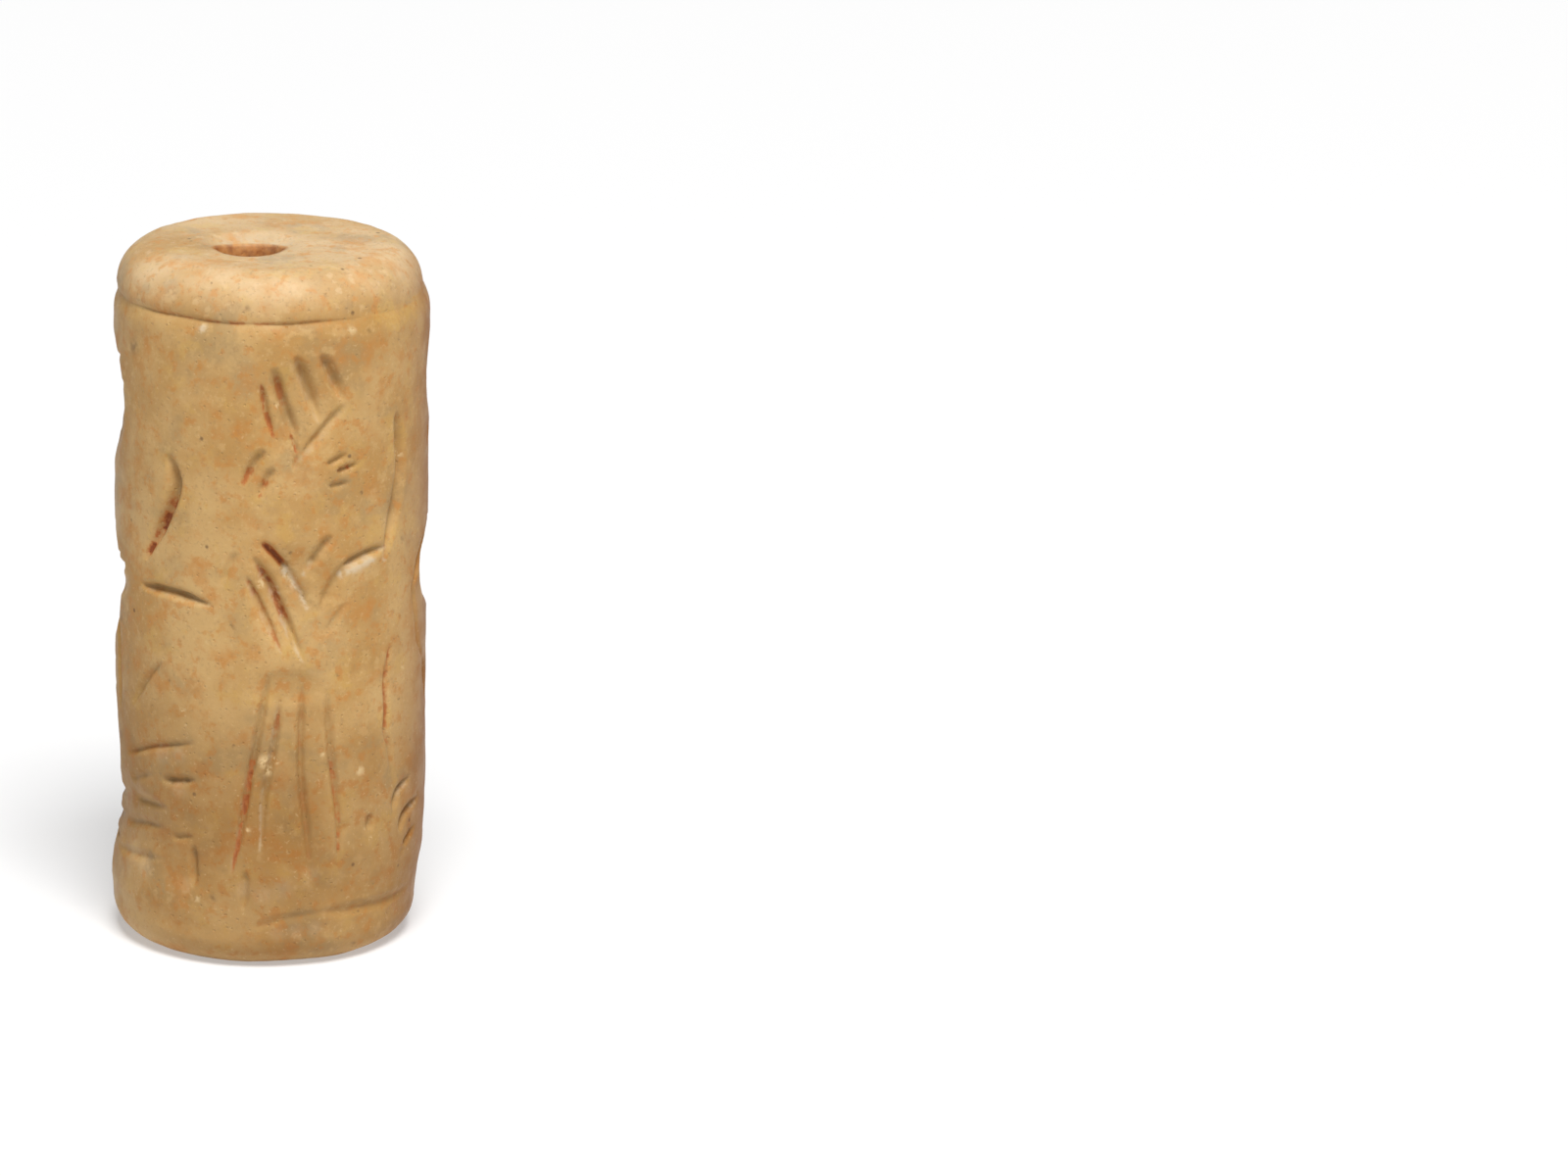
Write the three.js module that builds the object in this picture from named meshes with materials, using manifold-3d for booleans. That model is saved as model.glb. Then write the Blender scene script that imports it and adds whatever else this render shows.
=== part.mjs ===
// A cylinder seal of buff stone: a short rounded cylinder, bored from end to end for a cord or pin,
// with a scene of three figures cut into its side. It stands on its lower end.
// Millimetres, +Z up, origin at the middle of the underside. The front figure faces -Y.

import * as THREE from "three";
import { mergeVertices } from "three/addons/utils/BufferGeometryUtils.js";
import Module from "manifold-3d";

const wasm = await Module();
wasm.setup();

// Outer form
const sealHeight = 36;
const shoulderRadius = 8; // widest, just under the cap
const waistRadius = 7.87;
const footRadius = 7.92;
const baseRound = 2.5; // rounding of the lower edge
const capHeight = 2.35; // from the neck groove to the top
const capRadius = 7.66;
const capRound = 2.05; // rounding of the upper edge
const neckRadius = 7.5; // floor of the groove under the cap
const neckHalfWidth = 0.5;

// Bore, drilled a little askew
const boreRadius = 1.6;
const lipRadius = 1.85; // worn mouth
const lipDepth = 0.7;
const boreTop = new THREE.Vector2(-1.0, -0.95);
const boreBase = new THREE.Vector2(-0.35, 0.15);

// Carved field. Figures are drawn in hundredths of their own height, from the ground line up.
const groundHeight = 3.2;
const crownGap = 1.45; // between the tallest hair and the neck groove
const figureHeight = sealHeight - capHeight - crownGap - groundHeight;
const unit = figureHeight / 100;

// Strokes of the cutting tool, in millimetres
const fine = { wide: 0.42, deep: 0.26 };
const medium = { wide: 0.56, deep: 0.35 };
const bold = { wide: 0.78, deep: 0.48 };

// Fineness of the mesh
const aroundSteps = 48;
const fieldSteps = 20;
const arcSteps = 5;
const strokeStepLength = 2.2;
const fewestStrokeSteps = 3;

const radians = THREE.MathUtils.degToRad;
const neckHeight = sealHeight - capHeight;

// Radius of the uncut side at a height: a slight waist between shoulder and foot.
const sideCurve = new THREE.SplineCurve([
  new THREE.Vector2(baseRound, footRadius),
  new THREE.Vector2(neckHeight * 0.42, waistRadius),
  new THREE.Vector2(neckHeight * 0.72, (waistRadius + shoulderRadius) / 2),
  new THREE.Vector2(neckHeight - neckHalfWidth, shoulderRadius),
]);

function sideRadius(height) {
  const share = (height - baseRound) / (neckHeight - neckHalfWidth - baseRound);
  return sideCurve.getPoint(THREE.MathUtils.clamp(share, 0, 1)).y;
}

// Figures: where each one's brow and collar are. Angles in degrees about the axis, heights in hundredths.
const frontFigure = { axis: 12, brow: [11.6, 82], collarHeight: 61.4, lean: 0, faces: 1, ears: true };
const seatedFigure = { axis: 103, brow: [100, 83], collarHeight: 59, lean: 13, faces: 1, ears: true };
const swordFigure = { axis: 264, brow: [270, 79], collarHeight: 55.5, lean: 24, faces: -1, ears: false };
const figures = [frontFigure, seatedFigure, swordFigure];

// Soft hollows that were scooped out before the lines were cut: middle, half sizes and depth in millimetres.
const headHollow = { wide: 3, tall: 3.1, deep: 0.34, rise: 8 };
const chestHollow = { wide: 2.9, tall: 3.3, deep: 0.42, rise: -5 };
const garmentHollows = [
  { angle: 8, height: 24, wide: 3.4, tall: 6.6, deep: 0.24 }, // pleated skirt
  { angle: 126, height: 39, wide: 4.6, tall: 2.2, deep: 0.2 }, // lap
  { angle: 166, height: 23, wide: 4.4, tall: 6.4, deep: 0.26 }, // robe
  { angle: 263, height: 28, wide: 2.9, tall: 5.2, deep: 0.24 }, // fringed skirt
  { angle: 290, height: 13, wide: 5, tall: 2.4, deep: 0.34 }, // legs of the sword figure
  { angle: 180, height: 66, wide: 2, tall: 3, deep: 0.2 }, // curved standard
];
const hollows = [
  ...figures.map(({ brow, faces }) => ({
    ...headHollow,
    angle: brow[0] + faces,
    height: brow[1] + headHollow.rise,
  })),
  ...figures.map(({ axis, collarHeight }) => ({
    ...chestHollow,
    angle: axis,
    height: collarHeight + chestHollow.rise,
  })),
  ...garmentHollows,
];

// Signed angle from one direction to another, in degrees.
const turnBetween = (from, to) => ((((to - from) % 360) + 540) % 360) - 180;

function hollowDepth(angle, height) {
  let depth = 0;
  for (const hollow of hollows) {
    const across = radians(turnBetween(hollow.angle, angle)) * shoulderRadius / hollow.wide;
    const up = (height - groundHeight - hollow.height * unit) / hollow.tall;
    const inside = Math.max(0, 1 - across * across - up * up);
    depth = Math.max(depth, hollow.deep * inside * inside * (3 - 2 * inside));
  }
  return depth;
}

// Shape of revolution, then the soft hollows are pressed into its side.
function uncutStone() {
  const outline = [new THREE.Vector2(0, 0)];
  for (let step = 0; step <= arcSteps; step++) {
    const turn = (Math.PI / 2) * (step / arcSteps);
    outline.push(
      new THREE.Vector2(
        footRadius - baseRound + baseRound * Math.sin(turn),
        baseRound - baseRound * Math.cos(turn),
      ),
    );
  }
  for (let step = 1; step <= fieldSteps; step++) {
    const height = baseRound + (neckHeight - neckHalfWidth - baseRound) * (step / fieldSteps);
    outline.push(new THREE.Vector2(sideRadius(height), height));
  }
  outline.push(new THREE.Vector2(neckRadius, neckHeight));
  for (let step = 0; step <= arcSteps; step++) {
    const turn = (Math.PI / 2) * (step / arcSteps);
    outline.push(
      new THREE.Vector2(
        capRadius - capRound + capRound * Math.cos(turn),
        sealHeight - capRound + capRound * Math.sin(turn),
      ),
    );
  }
  outline.push(new THREE.Vector2(0, sealHeight));

  const stone = new THREE.LatheGeometry(outline, aroundSteps).rotateX(Math.PI / 2);
  const corners = stone.attributes.position;
  for (let corner = 0; corner < corners.count; corner++) {
    const height = corners.getZ(corner);
    const radius = Math.hypot(corners.getX(corner), corners.getY(corner));
    if (height > baseRound && height < neckHeight && radius > 0) {
      const angle = THREE.MathUtils.radToDeg(Math.atan2(corners.getX(corner), -corners.getY(corner)));
      const kept = 1 - hollowDepth(angle, height) / radius;
      corners.setXY(corner, corners.getX(corner) * kept, corners.getY(corner) * kept);
    }
  }
  return stone;
}

// The bore: a lathe turned about the axis, each ring then shifted to where the drill went.
function boreCutter() {
  const past = 1;
  const rings = [
    new THREE.Vector2(0, -past),
    new THREE.Vector2(lipRadius + (lipRadius - boreRadius) * (past / lipDepth), -past),
    new THREE.Vector2(boreRadius, lipDepth),
    new THREE.Vector2(boreRadius, sealHeight - lipDepth),
    new THREE.Vector2(lipRadius + (lipRadius - boreRadius) * (past / lipDepth), sealHeight + past),
    new THREE.Vector2(0, sealHeight + past),
  ];
  const boreSides = 20;
  const drill = new THREE.LatheGeometry(rings, boreSides).rotateX(Math.PI / 2);
  const corners = drill.attributes.position;
  const centre = new THREE.Vector2();
  for (let corner = 0; corner < corners.count; corner++) {
    centre.lerpVectors(boreBase, boreTop, corners.getZ(corner) / sealHeight);
    corners.setXY(corner, corners.getX(corner) + centre.x, corners.getY(corner) + centre.y);
  }
  return drill;
}

// One stroke: a slim spindle, pointed at both ends, bent along a line on the side of the stone.
// The line's points are hundredths to the right of the axis and hundredths above the ground line.
function strokeCutter({ axis, line, tool }) {
  const proud = 0.3; // how far the spindle's back stands out of the stone
  const skim = 0.02; // its edges pass just over the surface
  const startAngle = radians(axis);
  const course = new THREE.CatmullRomCurve3(
    line.map(([along, up]) => new THREE.Vector3(along * unit, groundHeight + up * unit, 0)),
  );
  const steps = Math.max(fewestStrokeSteps, Math.ceil(course.getLength() / strokeStepLength) + 1);
  const spindle = new THREE.SphereGeometry(1, 4, steps);
  const corners = spindle.attributes.position;
  for (let corner = 0; corner < corners.count; corner++) {
    const share = (1 - corners.getY(corner)) / 2;
    const here = course.getPoint(share);
    const heading = course.getTangent(share);
    const aside = (corners.getX(corner) * tool.wide) / 2;
    const along = here.x - heading.y * aside;
    const height = here.y + heading.x * aside;
    const angle = startAngle + along / shoulderRadius;
    const outward = corners.getZ(corner);
    const surface = sideRadius(height) - hollowDepth(THREE.MathUtils.radToDeg(angle), height);
    const radius = surface + skim + outward * (outward > 0 ? proud : tool.deep + skim);
    corners.setXYZ(corner, radius * Math.sin(angle), -radius * Math.cos(angle), height);
  }
  return spindle;
}

// Several strokes side by side, from the first to the last. Shares say where each one comes between them.
function fan(axis, first, last, shares, tool) {
  return shares.map((share) => ({
    axis,
    tool,
    line: first.map(([along, up], point) => [
      THREE.MathUtils.lerp(along, last[point][0], share),
      THREE.MathUtils.lerp(up, last[point][1], share),
    ]),
  }));
}

const evenly = (count) => Array.from({ length: count }, (_, place) => place / (count - 1));

// Hair swept back in four locks from the brow line, with short ticks for ear, nose and mouth.
function head({ brow, lean, faces, ears }) {
  const lockCount = 4;
  const firstSwing = 117;
  const swingStep = -12.5;
  const firstReach = 15.8;
  const reachStep = 0.7;
  const at = (along, up) => [along * faces, brow[1] + up];
  const strokes = [];
  for (let lock = 0; lock < lockCount; lock++) {
    const swing = radians(firstSwing + swingStep * lock + lean);
    const reach = firstReach + reachStep * lock;
    const tip = at(Math.cos(swing) * reach, Math.sin(swing) * reach);
    const root = lock === 0 ? at(-4.7, 4.1) : at(3.7 * (lock - 1), 0.9 + 4.9 * (lock - 1));
    strokes.push({ axis: brow[0], line: [tip, root], tool: medium });
  }
  strokes.push({ axis: brow[0], line: [at(7.9, 8.3), at(0, -0.3)], tool: fine });
  strokes.push(...fan(brow[0], [at(4.7, -0.7), at(8.2, 0.9)], [at(4.7, -4.5), at(9, -5.2)], evenly(3), fine));
  if (ears) {
    strokes.push(...fan(brow[0], [at(-6.2, 2.1), at(-10, -3.8)], [at(-4.3, -1), at(-7.4, -6.2)], [0, 1], medium));
  }
  return strokes;
}

// Collar and flanks: strokes that meet in a V at the waist.
function chest({ axis, collarHeight }) {
  const at = (along, up) => [along, collarHeight + up];
  return [
    { axis, line: [at(-6.4, 5.9), at(-0.6, -0.7)], tool: medium },
    { axis, line: [at(5.3, 6.9), at(0.6, 0)], tool: medium },
    ...fan(axis, [at(-8, 4.5), at(1, -14)], [at(-9.7, -0.7), at(-3.3, -13.4)], [0, 1], medium),
    ...fan(axis, [at(8.2, 2), at(3.4, -8.5)], [at(8.8, -5.6), at(5, -11.6)], [0, 1], fine),
  ];
}

// Upper arm held out level and forearm raised.
function raisedArm(axis, shoulder, elbow, bend, hand) {
  return [
    { axis, line: [shoulder, elbow], tool: medium },
    { axis, line: [elbow, bend, hand], tool: bold },
  ];
}

// Skirt lines that spread from belt to hem, with the feet below.
function pleatedSkirt(axis) {
  const left = [[-5.2, 43.4], [-9.6, 23.4], [-11.6, 7.9]];
  const right = [[5.1, 39.7], [7.5, 23.4], [8.2, 8]];
  return [
    ...fan(axis, left, right, [0, 0.24, 0.63, 1], medium),
    ...fan(axis, [[-9.2, 7.2], [-8.4, 2.4]], [[2.2, 8], [1.9, 2.4]], [0, 1], fine),
  ];
}

// Rows of fringe across a skirt.
function fringedSkirt(axis) {
  const rowCount = 6;
  const bulge = 1.6; // the middle rows are the widest
  return evenly(rowCount).map((share) => {
    const swell = bulge * Math.sin(Math.PI * share);
    const low = THREE.MathUtils.lerp(41, 15.9, share);
    return {
      axis,
      line: [[-5.6 - swell - share, low], [5.3 + swell - 4 * share, low - 3.4]],
      tool: medium,
    };
  });
}

// Reed standard: a bent stem on three slanting feet.
function standard(axis, stem, feet) {
  return [{ axis, line: stem, tool: fine }, ...feet.map((line) => ({ axis, line, tool: fine }))];
}

function frontStrokes() {
  const { axis } = frontFigure;
  return [
    ...head(frontFigure),
    ...chest(frontFigure),
    ...raisedArm(axis, [8.5, 63.1], [16.9, 64], [21.2, 78], [19.5, 86.6]),
    { axis, line: [[-11.1, 65.2], [-14.2, 60.6]], tool: fine },
    { axis, line: [[-15.4, 56.4], [-31.3, 56.4]], tool: medium },
    ...pleatedSkirt(axis),
    ...standard(47, [[-0.5, 45.9], [-0.4, 37.9], [2, 23.4]], [
      [[1.4, 17.2], [7.5, 21]],
      [[3.9, 13.1], [11.6, 16.9]],
      [[6.3, 10.3], [10.1, 13.4]],
    ]),
    { axis: 0, line: [[-0.7, -1], [7.2, 1]], tool: fine }, // ground line
    { axis: 0, line: [[12, 1.4], [22.1, 0.7], [33.7, -0.6]], tool: fine },
  ];
}

function seatedStrokes() {
  const { axis } = seatedFigure;
  const lapStrokes = 6;
  return [
    ...head(seatedFigure),
    ...chest(seatedFigure),
    ...raisedArm(axis, [9.9, 62.1], [18.5, 66], [27, 80], [25.5, 89.7]),
    { axis, line: [[-12.1, 62.1], [-17.3, 55.5]], tool: medium },
    { axis, line: [[-17.7, 55.2], [-17.3, 50.3], [-14.9, 44.1]], tool: fine },
    { axis, line: [[-14.5, 42.4], [-9.3, 30.7]], tool: bold },
    ...fan(axis, [[-1.3, 44.5], [-1, 32.4]], [[23.1, 44.1], [23.8, 35.5]], evenly(lapStrokes), medium),
    ...fan(
      axis,
      [[27.4, 43.4], [28.4, 24], [27.5, 7.9]],
      [[37.1, 37.9], [39.5, 24.5], [39.5, 9]],
      evenly(3),
      medium,
    ),
    { axis, line: [[24.3, 30], [21.4, 14.5], [21.4, 3.4]], tool: medium },
    { axis, line: [[17.5, 26.2], [17.5, 12.8], [20.7, 1.7]], tool: fine },
    { axis, line: [[-5.4, 25.9], [15.1, 26.9]], tool: medium }, // stool
    { axis, line: [[-2.9, 25.2], [-3.7, 3.4]], tool: medium },
  ];
}

function curvedStandardStrokes() {
  const axis = 182;
  return [
    { axis, line: [[3, 92.1], [-3, 84.1], [-3.4, 74], [1, 59]], tool: bold },
    { axis, line: [[3.4, 64.5], [2, 60], [-2.2, 58.3]], tool: medium },
    { axis, line: [[-3, 57.9], [-17, 56.2]], tool: bold },
    { axis, line: [[-3, 57.6], [1.9, 50.3], [6.7, 44.1], [6, 38.6]], tool: medium },
  ];
}

function swordStrokes() {
  const { axis } = swordFigure;
  return [
    ...head(swordFigure),
    ...chest(swordFigure),
    ...raisedArm(axis, [9.3, 59.5], [20.6, 60], [29.2, 74.8], [27.7, 83]),
    { axis, line: [[-9.9, 61.7], [-13.9, 58.3], [-15.9, 54.8]], tool: fine },
    { axis, line: [[-15.9, 54.8], [-27.1, 53.1]], tool: medium },
    { axis, line: [[-27.1, 98.3], [-26.5, 81.7], [-28, 61]], tool: bold }, // blade
    { axis, line: [[-30.6, 57.6], [-23, 61.4]], tool: medium }, // guard
    { axis, line: [[-27.5, 57.6], [-27.5, 50]], tool: fine }, // grip
    { axis, line: [[11.5, 47.9], [13.7, 39.3], [13.7, 30.7]], tool: medium },
    { axis, line: [[26.5, 44.8], [18.1, 34.8]], tool: medium },
    ...fringedSkirt(axis),
    ...fan(
      axis,
      [[1.3, 13.1], [13.3, 15.9], [26.9, 18.3]],
      [[2.5, 6.6], [15.3, 7.9], [27.3, 9.9]],
      evenly(3),
      medium,
    ),
    { axis, line: [[16.5, 26.2], [20.5, 27.6], [32.7, 30.7]], tool: fine },
    { axis, line: [[14.9, 20.3], [20.9, 22.1], [22.9, 24.1]], tool: fine },
    { axis, line: [[25.3, 23.4], [32.7, 24.1]], tool: fine },
    { axis, line: [[33.7, 11.4], [34.2, 5.2]], tool: fine },
    ...standard(218, [[-0.1, 44.1], [-1.7, 37.9], [2.3, 21.7]], [
      [[1.2, 15.5], [9.1, 12.1]],
      [[1.1, 11.7], [7.4, 7.2]],
      [[4.6, 7.2], [-2.6, 3.4]],
    ]),
  ];
}

// A closed three.js geometry as a solid that can be cut.
function solidFrom(geometry) {
  const bare = geometry.clone();
  bare.deleteAttribute("normal");
  bare.deleteAttribute("uv");
  const merged = mergeVertices(bare);
  const index = merged.index.array;
  const triangles = [];
  for (let start = 0; start < index.length; start += 3) {
    const [a, b, c] = index.slice(start, start + 3);
    if (a !== b && b !== c && c !== a) {
      triangles.push(a, b, c);
    }
  }
  return new wasm.Manifold(
    new wasm.Mesh({
      numProp: 3,
      vertProperties: Float32Array.from(merged.attributes.position.array),
      triVerts: Uint32Array.from(triangles),
    }),
  );
}

function sealStone() {
  let stone = solidFrom(uncutStone()).subtract(solidFrom(boreCutter()));
  const strokes = [...frontStrokes(), ...seatedStrokes(), ...curvedStandardStrokes(), ...swordStrokes()];
  for (const stroke of strokes) {
    stone = stone.subtract(solidFrom(strokeCutter(stroke)));
  }
  const cut = stone.getMesh();
  const geometry = new THREE.BufferGeometry();
  geometry.setAttribute("position", new THREE.BufferAttribute(cut.vertProperties, 3));
  geometry.setIndex(new THREE.BufferAttribute(cut.triVerts, 1));
  geometry.computeVertexNormals();
  const buffStone = new THREE.MeshStandardMaterial({ color: 0xd0ab74, roughness: 0.55, metalness: 0 });
  const mesh = new THREE.Mesh(geometry, buffStone);
  mesh.name = "seal_stone";
  return mesh;
}

const seal = new THREE.Group();
seal.add(sealStone());

export default seal;
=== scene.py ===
import math
import random

import bmesh
import bpy
import numpy as np
from mathutils import Matrix, Vector, noise


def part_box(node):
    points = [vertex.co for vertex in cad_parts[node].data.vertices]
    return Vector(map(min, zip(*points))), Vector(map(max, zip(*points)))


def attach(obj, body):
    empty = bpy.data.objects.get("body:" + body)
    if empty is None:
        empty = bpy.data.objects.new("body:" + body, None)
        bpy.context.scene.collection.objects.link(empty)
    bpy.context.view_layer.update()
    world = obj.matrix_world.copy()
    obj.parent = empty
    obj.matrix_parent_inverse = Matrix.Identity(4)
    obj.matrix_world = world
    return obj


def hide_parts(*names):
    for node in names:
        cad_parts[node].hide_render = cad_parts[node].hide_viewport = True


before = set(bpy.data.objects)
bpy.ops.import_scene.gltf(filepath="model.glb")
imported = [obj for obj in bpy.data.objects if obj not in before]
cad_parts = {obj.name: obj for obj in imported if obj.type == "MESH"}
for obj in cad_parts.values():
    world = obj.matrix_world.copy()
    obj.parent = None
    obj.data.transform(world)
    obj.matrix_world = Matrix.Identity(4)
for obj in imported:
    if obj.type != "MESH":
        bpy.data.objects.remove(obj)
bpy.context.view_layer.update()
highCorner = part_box("seal_stone")[1]
print("frame loaded")

mm = 0.001
sealHeight = highCorner.z / mm
shoulderRadius = highCorner.x / mm
random.seed(36)

# The uncut stone, in millimetres, angles in degrees from the front towards the right
stoneForm = {
    "side": [(1.7, 7.69), (3.3, 7.82), (5.2, 7.89), (14.0, 7.88), (24.0, 7.9), (31.0, 7.97), (32.6, 7.95)],
    "lean": [(0.0, -0.3), (2.5, -0.3), (5.0, -0.07), (7.0, 0.0), (33.2, 0.0), (34.2, -0.15)],
    "capHeight": 2.35,
    "capRadius": 7.68,
    "capRound": 2.1,
    "crease": [
        (0.16, 7.67), (0.08, 7.645), (0.02, 7.6), (-0.03, 7.545), (-0.09, 7.565),
        (-0.18, 7.66), (-0.31, 7.77), (-0.5, 7.86), (-0.7, 7.91), (-0.88, 7.94),
    ],  # height above the neck, radius
    "boreRadius": 1.6,
    "lipRadius": 1.8,
    "lipDepth": 0.7,
    "lipWear": 0.4,  # how far the back of the upper mouth is worn down
    "lipReach": 0.5,  # how far its front is drawn out
    "boreTop": (-1.0, -0.95),
    "boreBase": (-0.35, 0.15),
    "around": 232,  # steps round the side
    "step": 0.205,  # spacing of the rings on the side
    "flatStep": 0.25,  # spacing on the top
    "baseStep": 0.5,
    "boreStep": 2.2,
}

# How far the surface is worn and knocked
wear = {
    "waves": [(3.4, 0.05), (1.3, 0.028), (0.5, 0.012)],  # size of the waves and their height
    "polish": 0.02,  # rubbed off all over
    "creaseFill": 0.75,  # how far the crease under the cap is worn away on the right
    "creaseFillAngle": 85,
    "leftCreaseFill": 0.55,
    "creaseDrift": 0.12,  # how far the crease wanders up and down
    "dents": 90,
    "dentHeights": (1.5, sealHeight - 1),
    "dentSize": (0.15, 0.5),
    "dentDepth": (0.02, 0.07),
}


# How the tool starts and ends a stroke, and the section that it leaves
tool = {
    "depth": 1.15,  # every stroke is cut this many times as deep as it says
    "runIn": 0.2,  # shares of the length of a stroke
    "runOut": 0.32,
    "sharp": 0.32,  # this share of the depth is a sharp cut, the rest a soft hollow round it
    "sharpReach": 0.95,  # reaches are in half widths
    "softReach": 1.55,
    "fineRim": 0.14,  # the mesh is finer this far past the cut
    "search": 0.4,
    "lowerWall": (0.45, 0.9),  # from the lower wall to the upper one; the lower wall faces the light and carries the chalk, partly a painted highlight
}


def stroke(*points, wide=0.5, deep=0.34, stain=0.0, stained=(0.0, 1.0), pale=0.0):
    # one pass of the cutting tool: (angle, height) along it, its width and depth,
    # how red its floor is and over which share of its length, and how chalky its lower wall is, partly a
    # painted highlight
    return {"points": points, "wide": wide, "deep": deep, "stain": stain, "stained": stained, "pale": pale}


# The scooped hollows: angle, height, half width, half height and depth
hollows = {
    "frontHead": (11.5, 29.1, 2.9, 2.9, 0.3),
    "frontChest": (9.8, 19.6, 2.7, 3.1, 0.38),
    "frontSkirt": (7.2, 10.3, 3.0, 6.2, 0.32),
    "seatedHead": (97, 29.4, 3.0, 2.8, 0.28),
    "seatedChest": (96, 19.5, 3.6, 2.6, 0.72),
    "seatedLap": (126, 14.6, 4.6, 2.2, 0.2),
    "seatedRobe": (166, 10.0, 4.4, 6.2, 0.3),
    "swordHead": (270, 28.0, 3.2, 3.6, 0.55),
    "swordChest": (266, 18.4, 2.9, 3.2, 0.58),
    "swordSkirt": (264, 8.4, 3.2, 4.6, 0.42),
    "swordLegs": (290, 6.9, 5.0, 2.3, 0.3),
    "bow": (180, 21.6, 1.8, 2.6, 0.25),
}

# Places worn deeper still, given in the same way
wornSpots = {
    "belowShoulder": (270, 18.85, 4.0, 1.0, 0.28),
    "rightFoot": (76, 1.9, 5.0, 2.4, 0.04),
    "waist": (6.8, 14.9, 2.4, 1.1, 0.15),
    "leftFootFacet": (-22, 2.6, 5.0, 1.3, 0.08),
}

frontFigure = {
    "hair": [
        stroke((-4.1, 30.66), (-2.3, 29.15), (0.8, 27.75), wide=0.4, deep=0.26, stain=0.6),
        stroke((0.4, 31.45), (4.1, 29.55), (9.6, 27.54), wide=0.66, deep=0.4, stain=0.4, stained=(0.1, 0.55)),
        stroke((6.9, 28.0), (8.6, 27.4), (9.5, 26.8), wide=0.3, deep=0.18, stain=0.6),
        stroke((9.4, 27.0), (8.9, 26.7), (7.9, 26.2), wide=0.3, deep=0.16, stain=0.6),
        stroke(
            (8.5, 32.04), (12.6, 30.64), (18.1, 28.53),
            wide=0.7, deep=0.44, stain=0.2, stained=(0.0, 0.3), pale=0.25,
        ),
        stroke(
            (17.9, 32.03), (22.2, 31.03), (27.1, 29.52),
            wide=0.64, deep=0.4, stain=0.2, stained=(0.0, 0.25), pale=0.25,
        ),
        stroke((27.3, 29.32), (18.9, 28.03), (9.6, 26.74), wide=0.52, deep=0.26, pale=0.3),
    ],
    "ear": [
        stroke(
            (-2.5, 27.25), (-6.3, 26.55), (-11.0, 25.36),
            wide=0.56, deep=0.32, stain=0.55, stained=(0.5, 1.0),
        ),
        stroke((0.5, 26.35), (-5.1, 24.75), wide=0.5, deep=0.26, stain=0.55, stained=(0.4, 1.0)),
    ],
    "faceTicks": [
        stroke((20.0, 26.33), (28.6, 26.83), wide=0.4, deep=0.2, stain=0.35, stained=(0.4, 1.0)),
        stroke((24.0, 25.93), (32.9, 26.22), wide=0.42, deep=0.24, stain=0.75, stained=(0.05, 0.7)),
        stroke((20.9, 25.23), (29.3, 25.33), wide=0.4, deep=0.18),
    ],
    "shoulder": [
        stroke((-13.0, 21.96), (-19.0, 20.06), wide=0.42, deep=0.16),
        stroke((-55.5, 19.34), (-38.5, 19.41), (-21.9, 19.06), wide=0.56, deep=0.44, pale=0.25),
    ],
    "raisedArm": [
        stroke(
            (51.7, 28.41), (54.4, 25.92), (52.5, 24.13), (45.8, 21.03),
            wide=0.74, deep=0.46, stain=0.3, stained=(0.75, 1.0), pale=0.6,
        ),
        stroke((26.0, 21.0), (34.6, 21.4), (42.9, 21.6), (48.6, 21.6), wide=0.54, deep=0.36, pale=0.5),
    ],
    "chest": [
        stroke((-3.5, 22.5), (3.6, 21.4), (7.6, 20.6), wide=0.58, deep=0.38, stain=0.85, stained=(0.0, 0.7)),
        stroke((3.2, 21.4), (8.0, 20.3), (13.9, 18.95), wide=0.66, deep=0.22),
        stroke((22.1, 22.7), (17.8, 21.9), (13.2, 20.9), wide=0.6, deep=0.32, pale=0.2),
        stroke(
            (-6.5, 21.7), (-0.5, 20.15), (4.3, 18.7), (11.9, 16.3),
            wide=0.6, deep=0.4, stain=0.7, stained=(0.06, 0.68), pale=0.6,
        ),
        stroke((-9.5, 20.75), (-3.6, 18.95), (4.0, 16.74), wide=0.46, deep=0.26, stain=0.4, pale=0.3),
        stroke((28.2, 21.23), (23.1, 19.94), (18.3, 18.54), wide=0.7, deep=0.24, pale=0.2),
        stroke((29.0, 19.14), (19.4, 17.44), wide=0.44, deep=0.12),
    ],
    "skirt": [
        stroke(
            (-0.7, 15.65), (-3.8, 13.15), (-7.6, 10.44), (-10.6, 7.74), (-13.9, 5.04),
            wide=0.46, deep=0.3, stain=0.7, stained=(0.4, 1.0), pale=0.2,
        ),
        stroke(
            (3.6, 14.34), (1.2, 11.74), (-2.4, 9.04), (-3.3, 6.04),
            wide=0.46, deep=0.26, stain=0.4, stained=(0.0, 0.28), pale=0.5,
        ),
        stroke((12.0, 15.14), (11.6, 10.74), (13.9, 7.25), (15.7, 4.44), wide=0.48, deep=0.26, stain=0.22),
        stroke(
            (21.0, 14.74), (22.7, 11.74), (25.5, 8.45), (26.2, 5.14),
            wide=0.44, deep=0.24, stain=0.42, stained=(0.3, 0.95),
        ),
        stroke((-9.0, 5.3), (-7.9, 3.1), wide=0.46, deep=0.2),
    ],
    "hem": [
        stroke((-4.0, 2.2), (5.6, 2.7), (14.0, 2.85), (24.0, 2.95), wide=0.54, deep=0.1),
        stroke((20.0, 2.95), (42.4, 2.85), (56.4, 2.8), (71.0, 2.95), wide=0.72, deep=0.18, stain=0.12),
        stroke((39.8, 7.8), (39.2, 6.8), wide=0.5, deep=0.2),
    ],
}

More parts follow.
